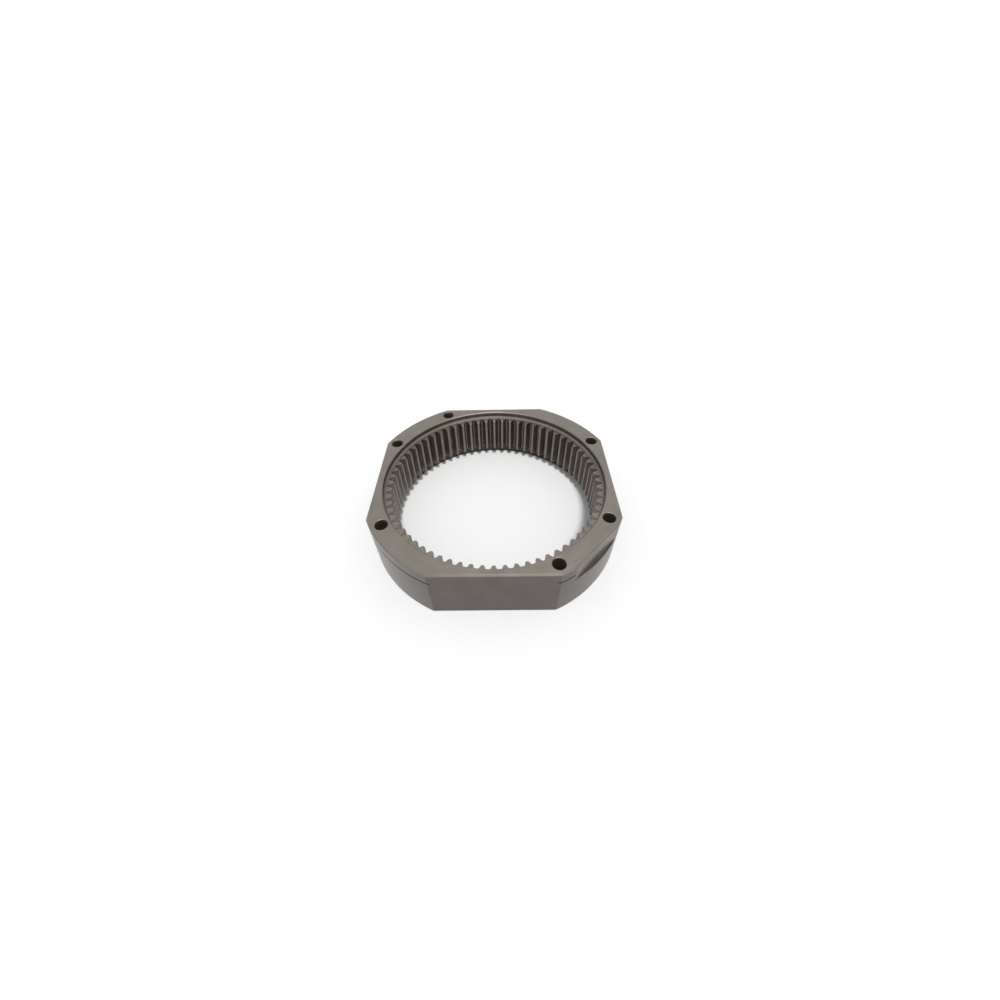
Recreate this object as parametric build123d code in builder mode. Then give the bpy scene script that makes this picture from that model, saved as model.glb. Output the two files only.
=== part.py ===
"""Internal ring gear: one machined steel ring with straight internal involute teeth.

The ring stands on its lower face. Z is the gear axis and the origin is the centre of the lower face.
Four flats are milled on the rim, square to X and Y, and the rim stays round between them. The teeth
stop short of both faces, which leaves a recess whose wall, the register, locates the neighbouring
housing. Six bolt holes run right through the rim.
All lengths are in millimetres and all angles in degrees.
"""

from build123d import *

import os
from math import acos, cos, pi, radians, sin, sqrt, tan

# Teeth: a full-depth involute gear with its teeth pointing inwards.
tooth_count = 68
module = 3.5
pressure_angle = 25.0
addendum_factor = 1.0
dedendum_factor = 1.25
root_round_factor = 0.26

# Rim, from the roots of the teeth outwards.
height = 66.0
register_step = 1.625
rim_wall = 22.0
flat_wall = 7.8
rim_chamfer = 1.5

# Recess at each face: a register wall with a bevel at its foot, down to the tooth ends.
upper_recess = 8.0
lower_recess = 11.0
register_chamfer = 0.8
register_foot_height = 2.4
register_foot_land = 0.2
crest_bevel = 1.0

# Narrow groove turned round the rim, below the upper face.
groove_from_top = 13.2
groove_width = 1.6
groove_depth = 1.2

# Step milled across one corner of the rim, open to the upper face.
step_angle = -45.0
step_cut = 4.9
step_depth = 21.5

# Bolt holes, on the round parts of the rim.
bolt_land = 10.0
bolt_hole_diameter = 13.5
bolt_hole_chamfer = 0.5
bolt_angles = (27.0, 117.0, 153.0, 211.5, 297.0, 331.5)

# Sizes that follow.
pitch_radius = module * tooth_count / 2
base_radius = pitch_radius * cos(radians(pressure_angle))
tip_radius = pitch_radius - addendum_factor * module
root_radius = pitch_radius + dedendum_factor * module
flank_end_radius = root_radius - root_round_factor * module
tooth_pitch_angle = 360 / tooth_count
register_radius = root_radius + register_step
outer_radius = register_radius + rim_wall
flat_distance = register_radius + flat_wall
bolt_circle_radius = register_radius + bolt_land
step_distance = outer_radius - step_cut
step_length = 2 * sqrt(outer_radius**2 - step_distance**2)


def involute_of(angle):
    """Return the involute function, tan(angle) - angle, of an angle in radians."""
    return tan(angle) - angle


def half_space_angle(radius):
    """Return half the angle, in radians, that a tooth space spans at a radius on its flanks."""
    angle_at_radius = acos(base_radius / radius)
    return pi / (2 * tooth_count) + involute_of(radians(pressure_angle)) - involute_of(angle_at_radius)


def flank_point(radius, side):
    """Return the point of a tooth space's flank at a radius, on the side 1 or -1 of the X axis."""
    angle = side * half_space_angle(radius)
    return (radius * cos(angle), radius * sin(angle))


# One tooth space, pointing along +X: two involute flanks that run into a rounded root. Its mouth
# reaches inside the tip circle, so that it opens into the bore.
flank_spans = 4
flank_radii = [tip_radius + (flank_end_radius - tip_radius) * i / flank_spans for i in range(flank_spans + 1)]
mouth_radius = tip_radius - module / 2
with BuildSketch() as tooth_space:
    with BuildLine():
        upper_flank = Spline([flank_point(radius, 1) for radius in flank_radii])
        lower_flank = Spline([flank_point(radius, -1) for radius in flank_radii])
        ThreePointArc(upper_flank @ 1, (root_radius, 0), lower_flank @ 1)
        Polyline(
            upper_flank @ 0,
            (mouth_radius, (upper_flank @ 0).Y),
            (mouth_radius, (lower_flank @ 0).Y),
            lower_flank @ 0,
        )
    make_face()

with BuildPart() as ring_gear:
    # The blank: a turned disc with its four flats.
    with BuildSketch():
        Circle(outer_radius)
        Rectangle(2 * flat_distance, 2 * flat_distance, mode=Mode.INTERSECT)
    extrude(amount=height)
    chamfer(ring_gear.faces().filter_by(Axis.Z).edges(), rim_chamfer)

    # The groove round the rim, which the flats interrupt.
    with BuildSketch(Plane.XY.offset(height - groove_from_top)):
        Circle(outer_radius + groove_depth)
        Circle(outer_radius - groove_depth, mode=Mode.SUBTRACT)
    extrude(amount=groove_width / 2, both=True, mode=Mode.SUBTRACT)

    # The toothed bore: the tip circle and every tooth space, with a tooth on the X axis.
    with BuildSketch():
        Circle(tip_radius)
        with PolarLocations(0, tooth_count, start_angle=tooth_pitch_angle / 2):
            add(tooth_space.sketch)
    extrude(amount=height, mode=Mode.SUBTRACT)

    # The recess at each face: one turned profile of the register, its bevelled mouth and foot, the
    # level of the tooth ends and the bevel on their crests.
    for face_level, inwards, recess in ((0, 1, lower_recess), (height, -1, upper_recess)):
        profile = (
            (0, 0),
            (register_radius + register_chamfer, 0),
            (register_radius, register_chamfer),
            (register_radius, recess - register_foot_height),
            (root_radius + register_foot_land, recess),
            (tip_radius + crest_bevel, recess),
            (tip_radius, recess + crest_bevel),
            (0, recess + crest_bevel),
        )
        with BuildSketch(Plane.XZ):
            with BuildLine():
                Polyline([(radius, face_level + inwards * depth) for radius, depth in profile], close=True)
            make_face()
        revolve(axis=Axis.Z, mode=Mode.SUBTRACT)

    # The bolt holes, bevelled at both mouths.
    for angle in bolt_angles:
        with PolarLocations(bolt_circle_radius, 1, start_angle=angle):
            Hole(bolt_hole_diameter / 2)
    bolt_mouths = ring_gear.edges().filter_by(GeomType.CIRCLE)
    bolt_mouths = bolt_mouths.filter_by(lambda edge: abs(edge.radius - bolt_hole_diameter / 2) < 1e-6)
    chamfer(bolt_mouths, bolt_hole_chamfer)

    # The step across one corner of the rim.
    with BuildSketch(Plane.XY.offset(height)):
        with PolarLocations(step_distance, 1, start_angle=step_angle):
            Rectangle(2 * step_cut, step_length, align=(Align.MIN, Align.CENTER))
    extrude(amount=-step_depth, mode=Mode.SUBTRACT)

ring_gear.part.label = "ring_gear"
os.makedirs("parts", exist_ok=True)
export_step(ring_gear.part, "parts/ring_gear.step")
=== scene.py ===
"""Internal ring gear, dressed: one machined steel ring with straight internal teeth on a pale floor.

The ring is a single closed surface. Its bore, its rim and its bolt holes are profiles carried along
closed paths and worked out as whole numpy arrays, and the two end faces fill what lies between those
paths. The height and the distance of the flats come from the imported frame. Lengths are in metres, with Z
along the gear axis and the origin at the centre of the lower face.
"""

import logging
from dataclasses import dataclass, field
from enum import Enum
from math import acos, cos, pi, radians, sin, tan

import bpy
import numpy as np
from mathutils import Matrix, Vector
from mathutils.geometry import tessellate_polygon


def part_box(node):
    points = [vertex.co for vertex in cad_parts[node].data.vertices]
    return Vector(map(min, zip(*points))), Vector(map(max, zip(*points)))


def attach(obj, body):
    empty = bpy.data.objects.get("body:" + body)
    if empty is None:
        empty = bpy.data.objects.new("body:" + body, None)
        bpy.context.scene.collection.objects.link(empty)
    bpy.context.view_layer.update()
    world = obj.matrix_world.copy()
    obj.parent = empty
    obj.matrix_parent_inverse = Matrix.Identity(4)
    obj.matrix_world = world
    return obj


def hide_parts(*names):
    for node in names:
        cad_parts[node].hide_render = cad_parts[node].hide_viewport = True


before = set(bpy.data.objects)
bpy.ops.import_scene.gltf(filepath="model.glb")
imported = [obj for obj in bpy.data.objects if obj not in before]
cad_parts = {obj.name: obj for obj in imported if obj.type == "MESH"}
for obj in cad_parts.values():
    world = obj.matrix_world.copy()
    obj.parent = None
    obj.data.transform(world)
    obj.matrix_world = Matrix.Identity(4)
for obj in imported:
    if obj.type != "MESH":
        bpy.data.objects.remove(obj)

log = logging.getLogger("ring_gear")
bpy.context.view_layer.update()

MM = 0.001
QUARTERS = 4
NODE = "ring_gear"
BODY = "root"


class Zone(Enum):
    """The surfaces of the ring that are finished differently, in the order of its material slots."""

    END_FACE = 0
    RIM = 1
    FLAT = 2
    TEETH = 3
    REGISTER = 4
    BOLT_HOLE = 5
    BROKEN_EDGE = 6
    STEP = 7
    REGISTER_FOOT = 8
    TOOTH_END = 9
    GROOVE = 10
    LEDGE = 11
    LOWER_REGISTER = 12
    CREST_BEVEL = 13


class Lay(Enum):
    """The way that a tool's marks run over a surface."""

    RINGS = "rings about the gear axis, as a facing cut or a rotary grinder leaves them"
    HOOPS = "level hoops, as turning leaves them on a round wall"
    UPRIGHT = "lines along the gear axis, as a shaping cutter leaves them on teeth"
    SLANTED = "slanting lines on an upright wall, as a milling cutter leaves them"
    PLAIN = "no direction"


@dataclass(frozen=True)
class Finish:
    """A machined steel finish: two tones of metal, how rough it is, and the marks of the tool.

    The marks are a noise whose coordinates are stretched along the lay, so that it changes quickly across
    the lay and slowly along it. A second noise, with no direction, clouds the metal's tone. The tone goes
    from dark to light over the tone span of the two noises mixed.

    The spacing and the length of the marks are in millimetres, and the bump and the cloud size in metres.
    Oil is the weight of a clear film over the metal, and the oil's roughness is the film's own.
    """

    name: str
    dark: tuple[float, float, float]
    light: tuple[float, float, float]
    roughness: tuple[float, float]
    lay: Lay
    mark_spacing: float
    mark_length: float
    mark_share: float = 0.5
    mark_detail: float = 2
    tone_span: tuple[float, float] = (0.30, 0.70)
    bump: float = 0.02 * MM
    bump_strength: float = 0.6
    cloud_size: float = 20 * MM
    cloud_detail: float = 3
    metallic: float = 1.0
    oil: float = 0.0
    oil_roughness: float = 0.35

    def material(self) -> bpy.types.Material:
        """Build the finish as a node material.

        Returns:
            The new material, which reads Object coordinates in metres.
        """
        made = bpy.data.materials.new(self.name)
        made.use_nodes = True
        tree = made.node_tree
        nodes, links = tree.nodes, tree.links
        shader = nodes["Principled BSDF"]
        shader.inputs["Metallic"].default_value = self.metallic
        shader.inputs["Coat Weight"].default_value = self.oil
        shader.inputs["Coat Roughness"].default_value = self.oil_roughness
        marks = self._marks(tree)
        clouds = nodes.new("ShaderNodeTexNoise")
        clouds.inputs["Scale"].default_value = 1 / self.cloud_size
        clouds.inputs["Detail"].default_value = self.cloud_detail
        where = nodes.new("ShaderNodeTexCoord")
        links.new(where.outputs["Object"], clouds.inputs["Vector"])
        both = nodes.new("ShaderNodeMix")
        both.inputs["Factor"].default_value = self.mark_share
        links.new(clouds.outputs["Fac"], both.inputs["A"])
        links.new(marks, both.inputs["B"])
        tone = nodes.new("ShaderNodeValToRGB")
        for stop, place, colour in zip(tone.color_ramp.elements, self.tone_span, (self.dark, self.light)):
            stop.position, stop.color = place, (*colour, 1)
        links.new(both.outputs["Result"], tone.inputs["Fac"])
        links.new(tone.outputs["Color"], shader.inputs["Base Color"])
        rough = nodes.new("ShaderNodeMapRange")
        rough.inputs["To Min"].default_value, rough.inputs["To Max"].default_value = self.roughness
        links.new(both.outputs["Result"], rough.inputs["Value"])
        links.new(rough.outputs["Result"], shader.inputs["Roughness"])
        bump = nodes.new("ShaderNodeBump")
        bump.inputs["Distance"].default_value = self.bump
        bump.inputs["Strength"].default_value = self.bump_strength
        links.new(marks, bump.inputs["Height"])
        links.new(bump.outputs["Normal"], shader.inputs["Normal"])
        return made

    def _marks(self, tree: bpy.types.NodeTree) -> bpy.types.NodeSocket:
        """Add the noise that stands for the tool's marks.

        Args:
            tree: The material's node tree.

        Returns:
            The noise's output socket.
        """
        nodes, links = tree.nodes, tree.links
        across, along = 1 / (self.mark_spacing * MM), 1 / (self.mark_length * MM)
        place = nodes.new("ShaderNodeTexCoord")
        split = nodes.new("ShaderNodeSeparateXYZ")
        links.new(place.outputs["Object"], split.inputs["Vector"])

        def calculate(operation: str, *values: bpy.types.NodeSocket | float) -> bpy.types.NodeSocket:
            """Add a math node.

            Args:
                operation: The node's operation.
                values: Its inputs, each a socket to link or a number to set.

            Returns:
                The node's output socket.
            """
            step = nodes.new("ShaderNodeMath")
            step.operation = operation
            for socket, value in zip(step.inputs, values):
                if isinstance(value, float):
                    socket.default_value = value
                else:
                    links.new(value, socket)
            return step.outputs["Value"]

        x, y, z = (split.outputs[axis] for axis in "XYZ")
        if self.lay is Lay.RINGS:
            squares = calculate("ADD", calculate("MULTIPLY", x, x), calculate("MULTIPLY", y, y))
            parts = ((calculate("SQRT", squares), across), (x, along), (y, along))
        elif self.lay is Lay.HOOPS:
            parts = ((x, along), (y, along), (z, across))
        elif self.lay is Lay.UPRIGHT:
            parts = ((x, across), (y, across), (z, along))
        elif self.lay is Lay.SLANTED:
            run = calculate("ADD", x, y)
            parts = ((calculate("ADD", run, z), across), (calculate("SUBTRACT", run, z), along))
        else:
            parts = ((x, across), (y, across), (z, across))
        joined = nodes.new("ShaderNodeCombineXYZ")
        for socket, (value, scale) in zip(joined.inputs, parts):
            links.new(calculate("MULTIPLY", value, scale), socket)
        noise = nodes.new("ShaderNodeTexNoise")
        noise.inputs["Scale"].default_value = 1
        noise.inputs["Detail"].default_value = self.mark_detail
        links.new(joined.outputs["Vector"], noise.inputs["Vector"])
        return noise.outputs["Fac"]


@dataclass
class Surface:
    """Points, triangles and zones gathered from the ring's features before they become one mesh.

    Points closer than the weld, in metres, become one.
    """

    points: list[np.ndarray] = field(default_factory=list)
    triangles: list[np.ndarray] = field(default_factory=list)
    zones: list[np.ndarray] = field(default_factory=list)
    count: int = 0
    weld: float = 1e-8
    sharp_angle: float = radians(13)

    def add_points(self, points: np.ndarray) -> np.ndarray:
        """Add points.

        Args:
            points: The points, in a grid of any shape whose last axis is X, Y and Z.

        Returns:
            The points' numbers, in the same grid.
        """
        flat = points.reshape(-1, 3)
        numbers = np.arange(self.count, self.count + len(flat)).reshape(points.shape[:-1])
        self.points.append(flat)
        self.count += len(flat)
        return numbers

    def add_triangles(self, triangles: np.ndarray, zones: np.ndarray) -> None:
        """Add triangles of point numbers with the zone of each."""
        self.triangles.append(triangles)
        self.zones.append(zones)

    def add_band(self, numbers: np.ndarray, zones: np.ndarray) -> None:
        """Fill between the rows of a grid that closes on itself sideways.

        Each cell, between two rows and two neighbouring columns, becomes two triangles.

        Args:
            numbers: Point numbers, one row per path and one column per place along it.
            zones: The zone of each cell, broadcast to one fewer row than the numbers.
        """
        here, there = numbers, np.roll(numbers, -1, axis=1)
        corners = np.stack([here[:-1], there[:-1], there[1:], here[1:]], axis=-1)
        zone_of_cell = np.broadcast_to(zones, corners.shape[:2]).reshape(-1)
        corners = corners.reshape(-1, 4)
        self.add_triangles(corners[:, [0, 1, 2]], zone_of_cell)
        self.add_triangles(corners[:, [0, 2, 3]], zone_of_cell)

    def add_plane(self, loops: list[np.ndarray], upwards: bool, zone: Zone) -> None:
        """Fill the level plane between closed loops of points already added.

        Args:
            loops: Point numbers of the outer loop and then of each hole's loop.
            upwards: Whether the plane faces up.
            zone: The zone of the plane.
        """
        every = np.concatenate(self.points)
        numbers = np.concatenate(loops)
        filled = tessellate_polygon([every[loop].tolist() for loop in loops])
        triangles = numbers[np.array(filled)]
        a, b, c = (every[triangles[:, i], :2] for i in range(3))
        turn = np.cross(b - a, c - a)
        wrong = (turn > 0) != upwards
        triangles[wrong] = triangles[wrong][:, ::-1]
        self.add_triangles(triangles, np.full(len(triangles), zone.value))

    def mesh(self, name: str) -> bpy.types.Mesh:
        """Join the parts into a mesh, with points that coincide made one and empty triangles left out.

        The mesh is shaded smooth, and an edge is kept sharp where its faces turn by more than the sharp
        angle.

        Args:
            name: The mesh's name.

        Returns:
            The finished mesh, whose faces point outwards.
        """
        points = np.concatenate(self.points)
        triangles, zones = np.concatenate(self.triangles), np.concatenate(self.zones)
        whole = np.round(points / self.weld).astype(np.int64)
        _, first, same = np.unique(whole, axis=0, return_index=True, return_inverse=True)
        triangles = same.reshape(-1)[triangles]
        a, b, c = triangles.T
        real = (a != b) & (b != c) & (c != a)
        made = bpy.data.meshes.new(name)
        made.from_pydata(points[first].tolist(), [], triangles[real].tolist())
        made.polygons.foreach_set("material_index", zones[real].astype(np.int32))
        made.polygons.foreach_set("use_smooth", np.ones(int(real.sum()), bool))
        made.validate()
        made.set_sharp_from_angle(angle=self.sharp_angle)
        made.update()
        return made


def ring_points(radius: np.ndarray, angle: np.ndarray, height: np.ndarray) -> np.ndarray:
    """Return points: the radius times the angle's cosine and sine, and the height, all broadcast."""
    radius, angle, height = np.broadcast_arrays(radius, angle, height)
    return np.stack([radius * np.cos(angle), radius * np.sin(angle), height], axis=-1)


@dataclass
class ToothedBore:
    """The bore: straight involute teeth between two recesses, each with the register as its wall."""

    height: float
    teeth: int = 68
    module: float = 3.5 * MM
    pressure_angle: float = radians(25)
    addendum: float = 1.0
    dedendum: float = 1.25
    root_round: float = 0.91 * MM
    register_radius: float = 125.0 * MM
    register_chamfer: float = 0.8 * MM
    foot_height: float = 2.4 * MM
    foot_land: float = 0.2 * MM
    upper_recess: float = 8.0 * MM
    lower_recess: float = 11.0 * MM
    crest_bevel: float = 1.0 * MM
    edge: float = 0.12 * MM
    flank_steps: int = 5
    root_steps: int = 6

    @property
    def pitch_radius(self) -> float:
        """Radius of the circle on which the planet gears roll."""
        return self.module * self.teeth / 2

    @property
    def tip_radius(self) -> float:
        """Radius of the teeth's crests."""
        return self.pitch_radius - self.addendum * self.module

    @property
    def root_radius(self) -> float:
        """Radius of the deepest line of a tooth space."""
        return self.pitch_radius + self.dedendum * self.module

    def half_space(self, radius: np.ndarray) -> np.ndarray:
        """Work out half the angle that a tooth space spans between its involute flanks.

        An involute's angle is tan(a) - a, where the cosine of a is the base radius over the radius. At
        the pitch circle the half angle is a quarter of a tooth's pitch, and it falls outwards as the
        involute's angle grows.

        Args:
            radius: Radii on the flanks.

        Returns:
            The half angle at each radius.
        """
        base = self.pitch_radius * cos(self.pressure_angle)
        angle = np.arccos(base / radius)
        at_pitch = tan(self.pressure_angle) - self.pressure_angle
        return pi / (2 * self.teeth) + at_pitch - (np.tan(angle) - angle)

    def outline(self) -> tuple[np.ndarray, np.ndarray]:
        """Work out the teeth's outline in the level plane.

        From the middle of a crest it runs along the crest, out along the flank and round the root, an arc
        through the flank's end and the deepest point. The half tooth is mirrored and repeated round the
        axis.

        Returns:
            The angle and the radius of each point, in order round the axis.
        """
        half_pitch = pi / self.teeth
        tip, root = self.tip_radius, self.root_radius
        end = root - self.root_round
        flank = np.concatenate([[tip + self.edge], np.linspace(tip, end, self.flank_steps + 1)[1:]])
        flank_angle = half_pitch - self.half_space(flank)
        crest_end = half_pitch - self.half_space(np.array(tip)) - self.edge / tip
        reach = float(self.half_space(np.array(end)))
        side, depth = end * sin(reach), root - end * cos(reach)
        bend = (side**2 + depth**2) / (2 * depth)
        sweep = acos(1 - depth / bend)
        turn = np.linspace(sweep, 0, self.root_steps + 1)[1:]
        across, out = bend * np.sin(turn), root - bend + bend * np.cos(turn)
        root_angle = half_pitch - np.arctan2(across, out)
        angle = np.concatenate([[0.0, crest_end], flank_angle, root_angle])
        radius = np.concatenate([[tip, tip], flank, np.hypot(across, out)])
        whole_angle = np.concatenate([-angle[:0:-1], angle[:-1]])
        whole_radius = np.concatenate([radius[:0:-1], radius[:-1]])
        turns = np.arange(self.teeth)[:, None] * 2 * half_pitch
        return (turns + whole_angle).reshape(-1), np.tile(whole_radius, self.teeth)

    def end_profile(self, recess: float, register: Zone) -> tuple[np.ndarray, np.ndarray, list[Zone]]:
        """Work out one end's profile, from the face inwards, at every point of the outline.

        It goes along the register's bevelled mouth and wall, down the bevel at the wall's foot to the
        level of the tooth ends, in along that level to the tooth, and over the crest's bevel where the
        outline comes inside it. Each corner is cut across by a small edge break.

        Args:
            recess: How far the tooth ends lie below the face.
            register: The zone of the register's wall.

        Returns:
            The radii and the depths below the face, one row per path, and the zone that follows each row.
        """
        _, tooth = self.outline()
        e, mouth, wall = self.edge, self.register_chamfer, self.register_radius
        foot, start = self.root_radius + self.foot_land, recess - self.foot_height
        bevel = np.maximum(self.tip_radius + self.crest_bevel - tooth, 0)
        drop = np.maximum(bevel, e)
        brink = tooth + drop
        level = np.ones_like(tooth)
        rows = [
            (wall + mouth + e, 0, Zone.BROKEN_EDGE),
            (wall + mouth - e, e, Zone.BROKEN_EDGE),
            (wall + e, mouth - e, Zone.BROKEN_EDGE),
            (wall, mouth + e, register),
            (wall, start - e, register),
            (wall - e * (wall - foot) / self.foot_height, start + e, Zone.REGISTER_FOOT),
            (foot + e, recess - e, Zone.REGISTER_FOOT),
            (np.maximum(foot - e, brink), recess, Zone.TOOTH_END),
            (brink, recess, Zone.CREST_BEVEL),
            (tooth, recess + drop, Zone.TEETH),
        ]
        radii = np.stack([radius * level for radius, _, _ in rows])
        depths = np.stack([depth * level for _, depth, _ in rows])
        return radii, depths, [zone for _, _, zone in rows]

    def build(self, surface: Surface) -> tuple[np.ndarray, np.ndarray]:
        """Add the bore to the surface, from the upper face down to the lower one.

        Args:
            surface: The ring's surface.

        Returns:
            The point numbers of the bore's loops in the upper and the lower face.
        """
        angle, _ = self.outline()
        upper_radii, upper_depths, upper_zones = self.end_profile(self.upper_recess, Zone.REGISTER)
        lower_radii, lower_depths, lower_zones = self.end_profile(self.lower_recess, Zone.LOWER_REGISTER)
        radii = np.concatenate([upper_radii, lower_radii[::-1]])
        heights = np.concatenate([self.height - upper_depths, lower_depths[::-1]])
        numbers = surface.add_points(ring_points(radii, angle, heights))
        zones = np.array([zone.value for zone in upper_zones + lower_zones[-2::-1]])[:, None]
        surface.add_band(numbers, zones)
        return numbers[0], numbers[-1]


@dataclass
class Rim:
    """The outside: a round wall cut by four flats, with a groove and a step across one corner.

    The shoulder steps are the spans of an arc between a flat and the step, and the arc steps those
    between two shoulders. Every arc is divided alike, so that the rows of the rim have matching points.
    """

    height: float
    flat_distance: float
    radius: float = 147.0 * MM
    chamfer: float = 1.5 * MM
    groove_depth: float = 13.2 * MM
    groove_width: float = 1.6 * MM
    groove_cut: float = 1.2 * MM
    step_angle: float = radians(-44)
    step_distance: float = 142.7 * MM
    step_depth: float = 21.5 * MM
    edge: float = 0.12 * MM
    shoulder_steps: int = 5
    arc_steps: int = 20
    flat_steps: int = 1

    def outline(self, inset: np.ndarray, round_cut: np.ndarray, step_ledge: np.ndarray) -> np.ndarray:
        """Work out the rim's outline for several rows at once.

        In each quarter the points run along a flat and then round the arc to the next flat. The arc's
        radius is the rim's less the inset and the cut, a flat lies at its distance less the inset, and
        the arc runs between the angles where it meets the flats. Where the step is, a point comes in to
        the step's wall, a straight chord, or as far out from it as the row says. A point's distance to a
        chord is the chord's distance over the cosine of the angle between the two.

        Args:
            inset: How far each row lies inside the full outline, all the way round.
            round_cut: How far each row cuts into the round parts alone.
            step_ledge: How far each row stands out from the step's wall, or infinity below the step.

        Returns:
            The points in the level plane, by row, by point and by X and Y.
        """
        inset, round_cut, step_ledge = inset[:, None], round_cut[:, None], step_ledge[:, None, None]
        arc, flat = self.radius - inset - round_cut, self.flat_distance - inset
        corner = np.arccos(flat / arc)
        corner_full = acos(self.flat_distance / self.radius)
        span_full = pi / 2 - 2 * corner_full
        near = (pi / 4 - acos(self.step_distance / self.radius) - corner_full) / span_full
        clear = 2 * self.edge / self.radius / span_full
        share = np.concatenate([
            np.linspace(clear, near, self.shoulder_steps, endpoint=False),
            np.linspace(near, 1 - near, self.arc_steps, endpoint=False),
            np.linspace(1 - near, 1 - clear, self.shoulder_steps + 1),
        ])
        quarters = np.arange(QUARTERS)[None, :, None] * pi / 2
        angle = quarters + (corner + share * (pi / 2 - 2 * corner))[:, None, :]
        distance = np.broadcast_to(arc[:, :, None], angle.shape)
        toward = np.cos(angle - self.step_angle)
        facing = toward > cos(corner_full)
        wall = (self.step_distance - inset[:, :, None]) / np.where(facing, toward, 1) + step_ledge
        distance = np.where(facing, np.minimum(distance, wall), distance)
        round_part = np.stack([distance * np.cos(angle), distance * np.sin(angle)], axis=-1)
        along = np.linspace(-1, 1, self.flat_steps + 1) * (flat * np.tan(corner) - 2 * self.edge)
        out, along = flat[:, :, None], along[:, None, :]
        turn, tilt = np.cos(quarters), np.sin(quarters)
        flat_part = np.stack([out * turn - along * tilt, out * tilt + along * turn], axis=-1)
        whole = np.concatenate([flat_part, round_part], axis=2)
        return whole.reshape(len(whole), -1, 2)

    def build(self, surface: Surface) -> tuple[np.ndarray, np.ndarray]:
        """Add the rim to the surface, as rows of its outline from the upper face down to the lower one.

        A row gives its height, its inset, its cut into the round parts, how far it stands out from the
        step's wall, and the zone below it.

        Args:
            surface: The ring's surface.

        Returns:
            The point numbers of the rim's loops in the upper and the lower face.
        """
        e, c, deep = self.edge, self.chamfer, self.groove_cut
        top, ledge, below = self.height, self.height - self.step_depth, np.inf
        groove, half = self.height - self.groove_depth, self.groove_width / 2
        wall, edge, sunk, step = Zone.RIM, Zone.BROKEN_EDGE, Zone.GROOVE, Zone.LEDGE
        rows = [
            (top, c + e, 0, 0, edge),
            (top - e / 2, c - e / 2, 0, 0, edge),
            (top - c + e / 2, e / 2, 0, 0, edge),
            (top - c - e, 0, 0, 0, wall),
            (groove + half + e, 0, 0, 0, wall),
            (groove + half - e, 0, e, 0, sunk),
            (groove + half - 2 * e, 0, deep, 0, sunk),
            (groove - half + 2 * e, 0, deep, 0, sunk),
            (groove - half + e, 0, e, 0, wall),
            (groove - half - e, 0, 0, 0, wall),
            (ledge + 2 * e, 0, 0, 0, wall),
            (ledge, 0, 0, 2 * e, step),
            (ledge, 0, 0, below, wall),
            (ledge - e, 0, 0, below, wall),
            (c + e, 0, 0, below, edge),
            (c - e / 2, e / 2, 0, below, edge),
            (e / 2, c - e / 2, 0, below, edge),
            (0, c + e, 0, below, edge),
        ]
        height, inset, round_cut, step_ledge = np.array([row[:4] for row in rows], float).T
        plan = self.outline(inset, round_cut, step_ledge)
        levels = np.broadcast_to(height[:, None, None], (*plan.shape[:2], 1))
        numbers = surface.add_points(np.concatenate([plan, levels], axis=-1))
        columns = numbers.shape[1] // QUARTERS
        on_flat = np.tile(np.arange(columns) < self.flat_steps, QUARTERS)
        middle = plan[0] + np.roll(plan[0], -1, axis=0)
        turn = np.arctan2(middle[:, 1], middle[:, 0]) - self.step_angle
        on_step = (np.cos(turn) > self.step_distance / self.radius) & (height[:-1, None] > ledge + e)
        kinds = np.array([row[4].value for row in rows[:-1]])[:, None]
        zones = np.where(on_flat, Zone.FLAT.value, np.where(on_step, Zone.STEP.value, kinds))
        zones = np.where(kinds == edge.value, kinds, zones)
        surface.add_band(numbers[::-1], zones[::-1])
        return numbers[0], numbers[-1]


@dataclass
class BoltHole:
    """One bolt hole, right through the rim, with a bevelled mouth at each face."""

    height: float
    centre: tuple[float, float]
    radius: float = 6.75 * MM
    chamfer: float = 0.5 * MM
    edge: float = 0.08 * MM
    steps: int = 64

    def build(self, surface: Surface) -> tuple[np.ndarray, np.ndarray]:
        """Add the hole to the surface: a profile of mouth and wall carried round a circle.

        Args:
            surface: The ring's surface.

        Returns:
            The point numbers of the hole's loops in the upper and the lower face.
        """
        e, c = self.edge, self.chamfer
        profile = np.array([(c + e, 0), (c - e, e), (e, c - e), (0, c + e), (0, self.height / 2)])
        radius = self.radius + np.concatenate([profile[:, 0], profile[-2::-1, 0]])
        height = np.concatenate([self.height - profile[:, 1], profile[-2::-1, 1]])
        angle = np.arange(self.steps) * 2 * pi / self.steps
        points = ring_points(radius[:, None], angle, height[:, None]) + (*self.centre, 0)
        numbers = surface.add_points(points)
        edge, wall = Zone.BROKEN_EDGE.value, Zone.BOLT_HOLE.value
        zones = np.array([edge, edge, edge, wall, wall, edge, edge, edge])[:, None]
        surface.add_band(numbers, zones)
        return numbers[0], numbers[-1]


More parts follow.
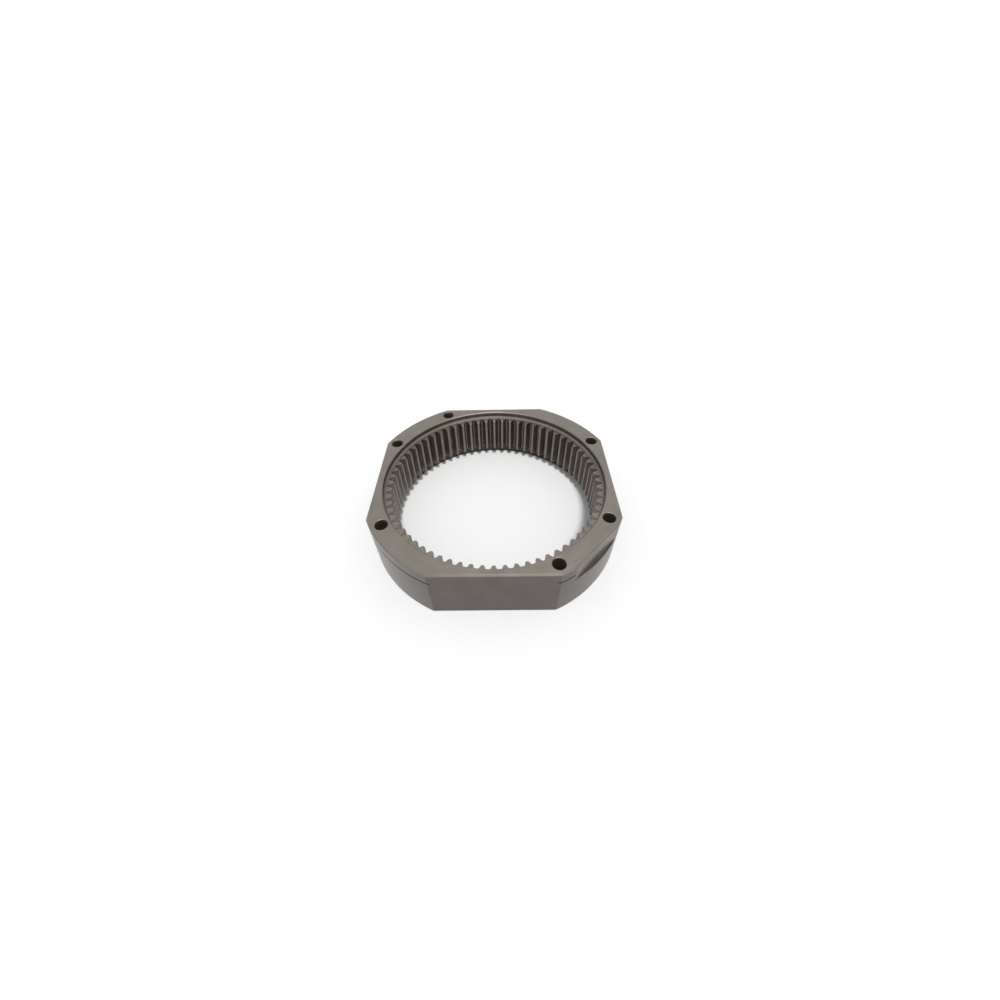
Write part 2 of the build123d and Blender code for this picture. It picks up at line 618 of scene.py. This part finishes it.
@dataclass
class RingGear:
    """The whole ring: its features joined by the two end faces, and its finishes.

    The bolt angles are in degrees from X.
    """

    node: str = NODE
    bolt_circle: float = 135.0 * MM
    bolt_angles: tuple[float, ...] = (27.0, 117.0, 153.0, 211.5, 297.0, 331.5)

    def build(self) -> bpy.types.Object:
        """Build the ring as one closed mesh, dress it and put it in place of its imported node.

        Returns:
            The ring's object.
        """
        low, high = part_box(self.node)
        height, flat = high.z - low.z, high.x
        surface = Surface()
        bore = ToothedBore(height).build(surface)
        rim = Rim(height, flat).build(surface)
        angles = np.radians(self.bolt_angles)
        centres = zip(self.bolt_circle * np.cos(angles), self.bolt_circle * np.sin(angles))
        holes = [BoltHole(height, (float(x), float(y))).build(surface) for x, y in centres]
        for side, upwards in enumerate((True, False)):
            loops = [rim[side], bore[side], *(hole[side] for hole in holes)]
            surface.add_plane(loops, upwards, Zone.END_FACE)
        ring = bpy.data.objects.new("ring", surface.mesh("ring"))
        bpy.context.scene.collection.objects.link(ring)
        finishes = self.finishes()
        for zone in Zone:
            ring.data.materials.append(finishes[zone].material())
        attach(ring, BODY)
        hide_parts(self.node)
        log.info("ring: %d points, %d triangles", len(ring.data.vertices), len(ring.data.polygons))
        return ring

    def finishes(self) -> dict[Zone, Finish]:
        """Set out the finish of each zone.

        Each gives the name, the dark and the light tone, the roughness from least to most, the lay, and
        the spacing and the length of the marks.

        Returns:
            The finishes by zone.
        """
        rings, hoops, upright, slanted, plain = Lay.RINGS, Lay.HOOPS, Lay.UPRIGHT, Lay.SLANTED, Lay.PLAIN
        return {
            Zone.END_FACE: Finish(
                "ground_end_face", (0.3, 0.272, 0.236), (0.385, 0.35, 0.304), (0.4, 0.52), rings, 0.5, 30
            ),
            Zone.RIM: Finish(
                "turned_rim", (0.05, 0.042, 0.028), (0.08, 0.067, 0.048), (0.4, 0.5), hoops, 0.6, 50,
                oil=0.72,
            ),
            Zone.FLAT: Finish(
                "milled_flat", (0.118, 0.102, 0.096), (0.16, 0.138, 0.13), (0.42, 0.56), slanted, 0.8, 30
            ),
            Zone.TEETH: Finish(
                "shaped_teeth", (0.17, 0.15, 0.135), (0.26, 0.23, 0.21), (0.34, 0.48), upright, 0.5, 20
            ),
            Zone.REGISTER: Finish(
                "turned_register", (0.071, 0.062, 0.052), (0.107, 0.094, 0.08), (0.4, 0.52), rings, 0.4, 30
            ),
            Zone.BOLT_HOLE: Finish(
                "drilled_hole", (0.27, 0.245, 0.2), (0.4, 0.36, 0.3), (0.4, 0.55), hoops, 0.5, 20
            ),
            Zone.BROKEN_EDGE: Finish(
                "broken_edge", (0.22, 0.2, 0.174), (0.29, 0.265, 0.231), (0.42, 0.55), plain, 1, 10
            ),
            Zone.STEP: Finish(
                "milled_step", (0.2, 0.182, 0.162), (0.27, 0.246, 0.22), (0.42, 0.56), plain, 1, 10
            ),
            Zone.REGISTER_FOOT: Finish(
                "turned_foot", (0.23, 0.21, 0.182), (0.3, 0.274, 0.24), (0.42, 0.55), rings, 0.4, 30
            ),
            Zone.TOOTH_END: Finish(
                "tooth_end", (0.3, 0.272, 0.236), (0.385, 0.35, 0.304), (0.38, 0.52), rings, 0.4, 30
            ),
            # The groove is finished nearly black: painted shade standing in for the shadow inside the
            # narrow groove.
            Zone.GROOVE: Finish(
                "groove_painted_shade", (0.03, 0.027, 0.023), (0.06, 0.053, 0.045), (0.5, 0.65), plain, 1, 10
            ),
            # The ledge is finished dark: painted shade standing in for the step wall's shadow on the
            # up-facing ledge.
            Zone.LEDGE: Finish(
                "ledge_painted_shade", (0.12, 0.107, 0.09), (0.17, 0.152, 0.128), (0.45, 0.6), plain, 1, 10
            ),
            # The lower register is finished darker than the upper one: painted shade standing in for the
            # shadow under the teeth's lower ends.
            Zone.LOWER_REGISTER: Finish(
                "lower_register_painted_shade", (0.048, 0.044, 0.04), (0.078, 0.071, 0.065), (0.4, 0.55), rings, 0.4, 30
            ),
            Zone.CREST_BEVEL: Finish(
                "crest_bevel", (0.12, 0.112, 0.102), (0.17, 0.159, 0.145), (0.42, 0.55), plain, 1, 10
            ),
        }


@dataclass
class Studio:
    """The floor, the light and the camera.

    The camera's aim, on the floor, and its distance are in picture scales, which are metres each.
    """

    floor_size: float = 40.0
    floor_colour: tuple[float, float, float] = (0.835, 0.84, 0.845)
    floor_roughness: float = 0.6
    sky_colour: tuple[float, float, float] = (0.98, 0.99, 1.0)
    sky_low: float = 1.03
    sky_high: float = 0.6
    sky_turn: tuple[float, float] = (0.15, 0.45)
    window_colour: tuple[float, float, float] = (1.0, 0.99, 0.975)
    window_direction: tuple[float, float, float] = (0.1, -0.38, 1.0)
    window_width: float = radians(10)
    window_strength: float = 2.2
    picture_scale: float = 147.0 * MM
    focal_length: float = 14.457
    sensor_width: float = 36.0
    tilt: float = radians(46.921)
    roll: float = radians(-1.478)
    turn: float = radians(-1.095)
    aim: tuple[float, float] = (0.0038, 0.1433)
    distance: float = 3.5348
    shift: tuple[float, float] = (0.005, 0.002)
    clip_start: float = 0.01

    def floor(self) -> bpy.types.Object:
        """Make the floor, a plain pale square.

        Returns:
            The floor's object.
        """
        half = self.floor_size / 2
        corners = [(-half, -half, 0), (half, -half, 0), (half, half, 0), (-half, half, 0)]
        mesh = bpy.data.meshes.new("floor")
        mesh.from_pydata(corners, [], [(0, 1, 2, 3)])
        made = bpy.data.materials.new("pale_floor")
        made.use_nodes = True
        shader = made.node_tree.nodes["Principled BSDF"]
        shader.inputs["Base Color"].default_value = (*self.floor_colour, 1)
        shader.inputs["Roughness"].default_value = self.floor_roughness
        mesh.materials.append(made)
        floor = bpy.data.objects.new("floor", mesh)
        bpy.context.scene.collection.objects.link(floor)
        return floor

    def sky(self) -> bpy.types.World:
        """Make the soft sky that lights the ring from all round.

        Its strength is one number low down, where the sky meets the floor, and another high up. Between
        two heights of the sky's direction it goes evenly from the one to the other.

        Returns:
            The world that holds the sky.
        """
        world = bpy.data.worlds.new("studio")
        bpy.context.scene.world = world
        world.use_nodes = True
        nodes, links = world.node_tree.nodes, world.node_tree.links
        background = nodes["Background"]
        background.inputs["Color"].default_value = (*self.sky_colour, 1)
        direction = nodes.new("ShaderNodeTexCoord")
        split = nodes.new("ShaderNodeSeparateXYZ")
        strength = nodes.new("ShaderNodeMapRange")
        turn_from, turn_to = self.sky_turn
        strength.inputs["From Min"].default_value = turn_from
        strength.inputs["From Max"].default_value = turn_to
        strength.inputs["To Min"].default_value = self.sky_low
        strength.inputs["To Max"].default_value = self.sky_high
        links.new(direction.outputs["Generated"], split.inputs["Vector"])
        links.new(split.outputs["Z"], strength.inputs["Value"])
        links.new(strength.outputs["Result"], background.inputs["Strength"])
        return world

    def window(self) -> bpy.types.Object:
        """Make the broad light that falls on the ring from the front and above.

        Returns:
            The light's object.
        """
        light = bpy.data.lights.new("window", "SUN")
        light.energy, light.angle = self.window_strength, self.window_width
        light.color = self.window_colour
        window = bpy.data.objects.new("window", light)
        window.rotation_euler = (-Vector(self.window_direction)).to_track_quat("-Z", "Y").to_euler()
        bpy.context.scene.collection.objects.link(window)
        return window

    def camera(self) -> bpy.types.Object:
        """Set the camera: it looks down at the tilt, rolled and turned a little, from the distance.

        Returns:
            The camera, which is also made the scene's own.
        """
        forward = Vector((0, cos(self.tilt), -sin(self.tilt)))
        right = Vector((1, 0, 0))
        up = right.cross(forward)
        across = cos(self.roll) * right + sin(self.roll) * up
        upright = -sin(self.roll) * right + cos(self.roll) * up
        place = Vector((*self.aim, 0)) - forward * self.distance
        axes = Matrix((across, upright, -forward)).transposed().to_4x4()
        axes.translation = place * self.picture_scale
        data = bpy.data.cameras.new("camera")
        data.sensor_width, data.lens = self.sensor_width, self.focal_length
        data.shift_x, data.shift_y = self.shift
        data.clip_start = self.clip_start
        camera = bpy.data.objects.new("camera", data)
        camera.matrix_world = Matrix.Rotation(-self.turn, 4, "Z") @ axes
        bpy.context.scene.collection.objects.link(camera)
        bpy.context.scene.camera = camera
        return camera


def main() -> None:
    """Build the ring and the studio in order, and report each piece."""
    logging.basicConfig(level=logging.INFO)
    bpy.context.scene.view_settings.view_transform = "Standard"
    studio = Studio()
    for build in (RingGear().build, studio.floor, studio.sky, studio.window, studio.camera):
        log.info("built %s", build().name)


if __name__ == "__main__":
    main()
